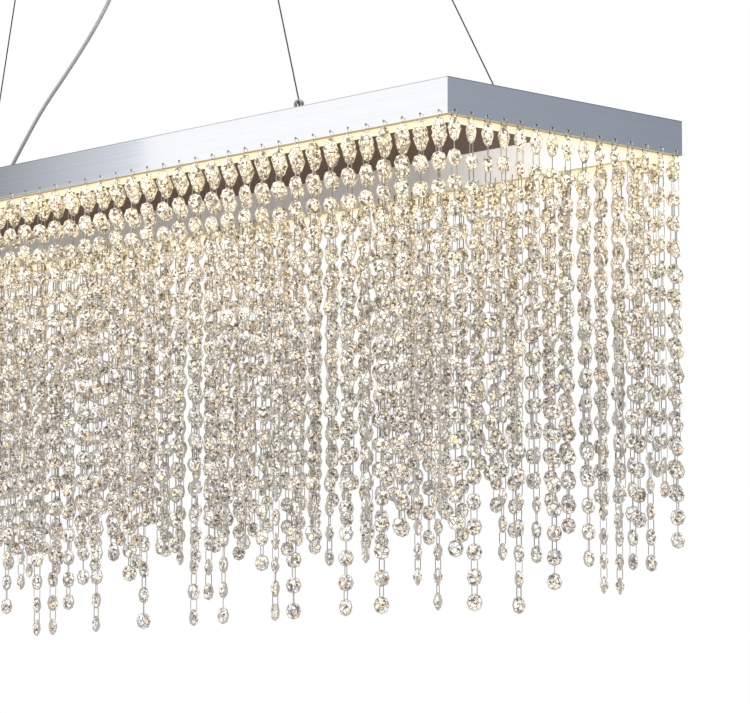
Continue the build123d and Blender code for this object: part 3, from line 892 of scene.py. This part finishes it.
# Half length, half width and level of a diode's top, foot, window's rim and window.
CHIP_RINGS = ((0.00175, 0.0014, 0.0001), (0.00175, 0.0014, -0.0007),
              (0.00145, 0.0011, -0.0007), (0.0012, 0.0009, -0.0004))


def chip_mesh():
    """A diode's case with the window sunk into its lower face."""
    points = []
    for x, y, z in CHIP_RINGS:
        points += [(x, y, z), (-x, y, z), (-x, -y, z), (x, -y, z)]
    faces = [(0, 1, 2, 3)]
    for start in (0, 4, 8):
        faces += band(start, start + 4, 4)
    faces.append((12, 13, 14, 15))
    mesh = mesh_of("chip", points, faces)
    window = [float(face == faces[-1]) for face in faces]
    mesh.attributes.new("window", "FLOAT", "FACE").data.foreach_set("value", window)
    tidy_normals(mesh)
    return mesh


class CHANDELIER_OT_light(bpy.types.Operator):
    """Light the strips under the rails"""

    bl_idname = "chandelier.light"
    bl_label = "Light strips"

    def execute(self, context):
        make = settings().frame
        acrylic = lit_acrylic(make)
        aluminium = plain_metal("anodised_aluminium", (0.80, 0.80, 0.81), 0.30)
        tape = Finish("led_tape", (1.0, 0.95, 0.80))
        tape.set("Emission Color", make.light)
        tape.set("Emission Strength", 2.0)
        for side in SIDES:
            dress(side + "_diffuser", acrylic)
            dress(side + "_led_profile", aluminium)
            dress(side + "_led_tape", tape.material)
        self.chips(make)
        return {"FINISHED"}

    def chips(self, make):
        """A row of diodes under each tape."""
        tree = row_tree()
        chip = new_piece("chip", chip_mesh())
        material = lit_chip(make)
        for side in SIDES:
            low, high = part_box(side + "_led_tape")
            along = int(high[1] - low[1] > high[0] - low[0])
            count = int((high[along] - low[along]) / make.chip_pitch)
            middle = [(low[k] + high[k]) / 2 for k in (0, 1)]
            points = []
            for k in range(count):
                point = [*middle, low[2]]
                point[along] += make.chip_pitch * (k - (count - 1) / 2)
                points.append(point)
            name = side + "_led_chips"
            row = grown(name, mesh_of(name, points, []), tree,
                        {"Piece": chip, "Material": material})
            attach(row, "lamp")
        discard(chip)


# ---- hangers, cord and canopy ----
# x and z of the power cord's line, from its grip on the panel to the one in the canopy.
CORD_ROUTE = ((-0.194, -0.3045), (-0.190, -0.293), (-0.166, -0.266), (-0.129, -0.226),
              (-0.088, -0.193), (-0.047, -0.157), (-0.014, -0.120), (0.0, -0.080),
              (0.0, -0.044))


def point_along(line, distance):
    """The point at a distance along a line of points."""
    for start, end in zip(line, line[1:]):
        part = math.dist(start, end)
        if distance <= part and part > 0.0:
            return tuple(Vector(start).lerp(Vector(end), distance / part))
        distance -= part
    return line[-1]


class CHANDELIER_OT_power_cord(bpy.types.Operator):
    """Run the power cord from the panel to the canopy"""

    bl_idname = "chandelier.power_cord"
    bl_label = "Power cord"

    def execute(self, context):
        make = settings().frame
        curve = bpy.data.curves.new("cord_line", "CURVE")
        curve.dimensions = "3D"
        curve.bevel_depth = make.cord_thickness / 2
        curve.bevel_resolution = 4
        curve.resolution_u = 16
        curve.use_fill_caps = True
        spline = curve.splines.new("NURBS")
        spline.points.add(len(CORD_ROUTE) - 1)
        for point, (x, z) in zip(spline.points, CORD_ROUTE):
            point.co = (x, 0.0, z, 1.0)
        spline.order_u = 3
        spline.use_endpoint_u = True
        cord = new_piece("power_cord_line", curve)
        jacket = clear_jacket()
        curve.materials.append(jacket)
        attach(cord, "lamp")
        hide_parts("power_cord")
        self.strain_reliefs(curve, jacket)
        x, z = CORD_ROUTE[0]
        return {"FINISHED"}

    def strain_reliefs(self, curve, jacket):
        """A ribbed sleeve that tapers along the cord from each of its two grips."""
        foot, taper, groove, steps = 0.0076, 0.0028, 0.0009, 17
        bare = curve.copy()
        bare.bevel_depth = 0.0
        probe = new_piece("centreline", bare)
        line = [tuple(vertex.co) for vertex in baked(probe).vertices]
        discard(probe)
        for name, way, reach in (("frame_strain_relief", line, 0.021),
                                 ("canopy_strain_relief", line[::-1], 0.026)):
            path = [point_along(way, reach * k / steps) for k in range(steps + 1)]
            widths = [foot - taper * k / steps - groove * (k % 3 == 2)
                      for k in range(steps + 1)]
            sleeve = new_piece(name, swept(name, path, widths, sides=18, closed=False), jacket)
            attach(sleeve, "lamp")


class CHANDELIER_OT_hangers(bpy.types.Operator):
    """Finish the wires, their saddles and their grippers"""

    bl_idname = "chandelier.hangers"
    bl_label = "Wires and grippers"

    def execute(self, context):
        make = settings().frame
        plated = plain_metal("plated_brass", (0.72, 0.72, 0.72), 0.16)
        steel = plain_metal("wire_steel", make.wire, 0.50, metallic=0.3)
        for k in (1, 2, 3, 4):
            self.laid_wire(make, f"suspension_wire_{k}", steel)
            dress(f"gripper_body_{k}", plated)
            dress(f"gripper_plunger_{k}", plated)
        dress("wire_ferrules",
              plain_metal("ferrule_steel", (0.02, 0.02, 0.02), 0.45, metallic=0.3))
        dress("wire_saddles", plain_metal("saddle_steel", (0.50, 0.50, 0.48), 0.20))
        return {"FINISHED"}

    def laid_wire(self, make, node, steel):
        """A wire of six outer strands between the two ends of its CAD node."""
        steps_each = 12  # points of the path to one turn of the strands
        mesh = frame["nodes"][node].data
        spots = [vertex.co for vertex in mesh.vertices]
        ends = []
        for height in (max(p.z for p in spots), min(p.z for p in spots)):
            rim = [p for p in spots if abs(p.z - height) < make.wire_thickness]
            ends.append(sum(rim, Vector()) / len(rim))
        steps = round((ends[1] - ends[0]).length / make.wire_lay * steps_each)
        path = [tuple(ends[0].lerp(ends[1], k / steps)) for k in range(steps + 1)]
        name = node + "_laid"
        wire = new_piece(name, swept(name, path, make.wire_thickness, sides=18, closed=False,
                                     lobes=6, turn_each=math.radians(360 / steps_each)), steel)
        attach(wire, "lamp")
        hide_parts(node)


class CHANDELIER_OT_canopy(bpy.types.Operator):
    """Finish the canopy and what is in it"""

    bl_idname = "chandelier.canopy"
    bl_label = "Canopy"

    def execute(self, context):
        dress("canopy_cover", plain_metal("satin_chrome", (0.58, 0.59, 0.62), 0.24))
        dress("ceiling_bracket", plain_metal("bracket_zinc", (0.62, 0.63, 0.65), 0.38))
        dress("canopy_screws", plain_metal("knurled_screw", (0.70, 0.70, 0.70), 0.2))
        dress("gripper_nuts", plain_metal("nut_steel", (0.6, 0.6, 0.58), 0.3))
        dress("led_driver", moulded_plastic("driver_case", (0.80, 0.80, 0.78)))
        dress("terminal_block", moulded_plastic("terminal_moulding", (0.85, 0.84, 0.80)))
        clear = moulded_plastic("grip_moulding", (0.75, 0.75, 0.73), 0.3, clear=0.3)
        dress("canopy_cord_grip", clear)
        dress("frame_cord_grip", clear)
        return {"FINISHED"}


# ---- stage ----
ROOM_LIGHT = 0.70  # strength of the white room as a light
FLOOR_GLOW = 0.45  # light that the floor adds where the camera sees it
FLOOR_HALF = 40.0
CARD_LEVELS = (-1.2, 1.6)
LAMP_AIM = Vector((0.0, 0.0, -0.5))
LAMPS = (("key", (2.2, -2.4, 1.2), 1.6, 60.0),  # name, place, size and power
         ("fill", (-0.8, -2.2, 2.6), 2.0, 40.0),
         ("rim", (0.5, 2.8, 0.8), 1.8, 30.0))
CAMERA_FROM_CORNER = Vector((2.2956, -2.2805, -0.6563))


def mirror_card(name, x, y, near_shade, far_shade):
    """A standing sheet outside the picture that only polished metal shows: x and y are its
    two ends, and its shade runs from the first to the second. To all other rays it is
    clear."""
    low, high = CARD_LEVELS
    points = [(x[k], y[k], z) for k, z in ((0, low), (1, low), (1, high), (0, high))]
    mesh = mesh_of(name, points, [(0, 1, 2, 3)])
    finish = Finish(name)
    axis = 0 if x[0] != x[1] else 1
    grade = finish.place()[axis].ramp(*(x, y)[axis])
    grey = finish.add("ShaderNodeEmission",
                      sockets={"Color": finish.blend(grade, near_shade, far_shade)})
    finish.surface(finish.add("ShaderNodeLightPath", output="Is Glossy Ray"),
                   finish.add("ShaderNodeBsdfTransparent"), grey)
    new_piece(name, mesh, finish.material)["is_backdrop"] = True


class CHANDELIER_OT_stage(bpy.types.Operator):
    """Set up the floor, the light and the camera"""

    bl_idname = "chandelier.stage"
    bl_label = "Stage"

    def execute(self, context):
        make = settings().studio
        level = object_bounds()[0][2] - make.floor_drop
        corners = [(x * FLOOR_HALF, y * FLOOR_HALF, level)
                   for x, y in ((-1, -1), (1, -1), (1, 1), (-1, 1))]
        floor = new_piece("floor", mesh_of("floor", corners, [(0, 1, 2, 3)]),
                          plain_paper(make))
        floor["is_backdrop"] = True
        mirror_card("left_card", (-2.49, -3.1), (-2.43, -2.43),
                    (0.72, 0.75, 0.80), (0.17, 0.18, 0.20))
        mirror_card("right_card", (2.9066, 2.9066), (1.4, 3.2),
                    (0.38, 0.41, 0.47), (0.24, 0.27, 0.31))
        self.world()
        self.lamps()
        self.camera(make)
        context.scene.view_settings.view_transform = "Standard"
        return {"FINISHED"}

    def world(self):
        """A white room, weaker as a light than where a ray comes to it directly."""
        world = bpy.data.worlds.new("studio")
        world.use_nodes = True
        bpy.context.scene.world = world
        nodes = Nodes(world.node_tree)
        room = nodes.tree.nodes["Background"]
        nodes.join((1.0, 1.0, 1.0), room.inputs["Color"])
        seen = nodes.add("ShaderNodeLightPath", output="Is Camera Ray")
        for ray in ("Is Glossy Ray", "Is Transmission Ray"):
            seen = seen.math("MAXIMUM", nodes.add("ShaderNodeLightPath", output=ray))
        nodes.join(seen.ramp(0.0, 1.0, ROOM_LIGHT), room.inputs["Strength"])

    def lamps(self):
        for name, at, size, power in LAMPS:
            light = bpy.data.lights.new(name, "AREA")
            light.size = size
            light.energy = power
            lamp = new_piece(name, light)
            lamp.location = at
            lamp.rotation_euler = (LAMP_AIM - Vector(at)).to_track_quat("-Z", "Y").to_euler()

    def camera(self, make):
        data = bpy.data.cameras.new("camera")
        data.lens = make.lens
        data.sensor_width = 36.0
        data.clip_end = 50.0
        camera = new_piece("camera", data)
        corner = Vector((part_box("right_rail")[1][0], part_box("front_rail")[0][1],
                         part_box("front_rail")[1][2]))
        camera.location = corner + CAMERA_FROM_CORNER
        camera.rotation_euler = (math.radians(90) + make.pitch, 0.0, make.heading)
        bpy.context.scene.camera = camera


def plain_paper(make):
    """The floor, brighter where it is seen directly, and clear from below."""
    finish = Finish("paper", roughness=0.9)
    finish.set("Base Color",
               finish.blend(finish.noise(0.6), shade(make.paper, 0.97), make.paper))
    finish.set("Emission Color", (1.0, 1.0, 1.0))
    finish.set("Emission Strength",
               FLOOR_GLOW * finish.add("ShaderNodeLightPath", output="Is Camera Ray"))
    finish.surface(finish.add("ShaderNodeNewGeometry", output="Backfacing"),
                   Term(finish, finish.shader.outputs[0]),
                   finish.add("ShaderNodeBsdfTransparent"))
    return finish.material


# ---- add-on ----
class ChandelierSettings(bpy.types.PropertyGroup):
    """All sizes and colours of the chandelier."""

    crystal: PointerProperty(type=CrystalSettings, name="Crystals")
    frame: PointerProperty(type=FrameSettings, name="Frame")
    studio: PointerProperty(type=StudioSettings, name="Studio")


class CHANDELIER_PT_pieces(bpy.types.Panel):
    """The chandelier's pieces, each with its button"""

    bl_label = "Crystal chandelier"
    bl_idname = "CHANDELIER_PT_pieces"
    bl_space_type = "VIEW_3D"
    bl_region_type = "UI"
    bl_category = "Chandelier"

    def draw(self, context):
        for operator in OPERATORS:
            self.layout.operator(operator.bl_idname, text=operator.bl_label)
        make = context.scene.chandelier
        for group in (make.crystal, make.frame, make.studio):
            box = self.layout.box()
            for name in group.bl_rna.properties.keys():
                if name not in ("rna_type", "name"):
                    box.prop(group, name)


OPERATORS = (CHANDELIER_OT_power_cord, CHANDELIER_OT_rails, CHANDELIER_OT_light,
             CHANDELIER_OT_hangers, CHANDELIER_OT_canopy, CHANDELIER_OT_crystals,
             CHANDELIER_OT_stage)
CLASSES = (CrystalSettings, FrameSettings, StudioSettings, ChandelierSettings,
           *OPERATORS, CHANDELIER_PT_pieces)


def register():
    for item in CLASSES:
        bpy.utils.register_class(item)
    bpy.types.Scene.chandelier = PointerProperty(type=ChandelierSettings)


def unregister():
    del bpy.types.Scene.chandelier
    for item in reversed(CLASSES):
        bpy.utils.unregister_class(item)


def main():
    register()
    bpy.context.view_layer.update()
    bpy.ops.chandelier.power_cord()
    bpy.ops.chandelier.rails()
    bpy.ops.chandelier.light()
    bpy.ops.chandelier.hangers()
    bpy.ops.chandelier.canopy()
    bpy.ops.chandelier.crystals()
    bpy.ops.chandelier.stage()


if __name__ == "__main__":
    main()
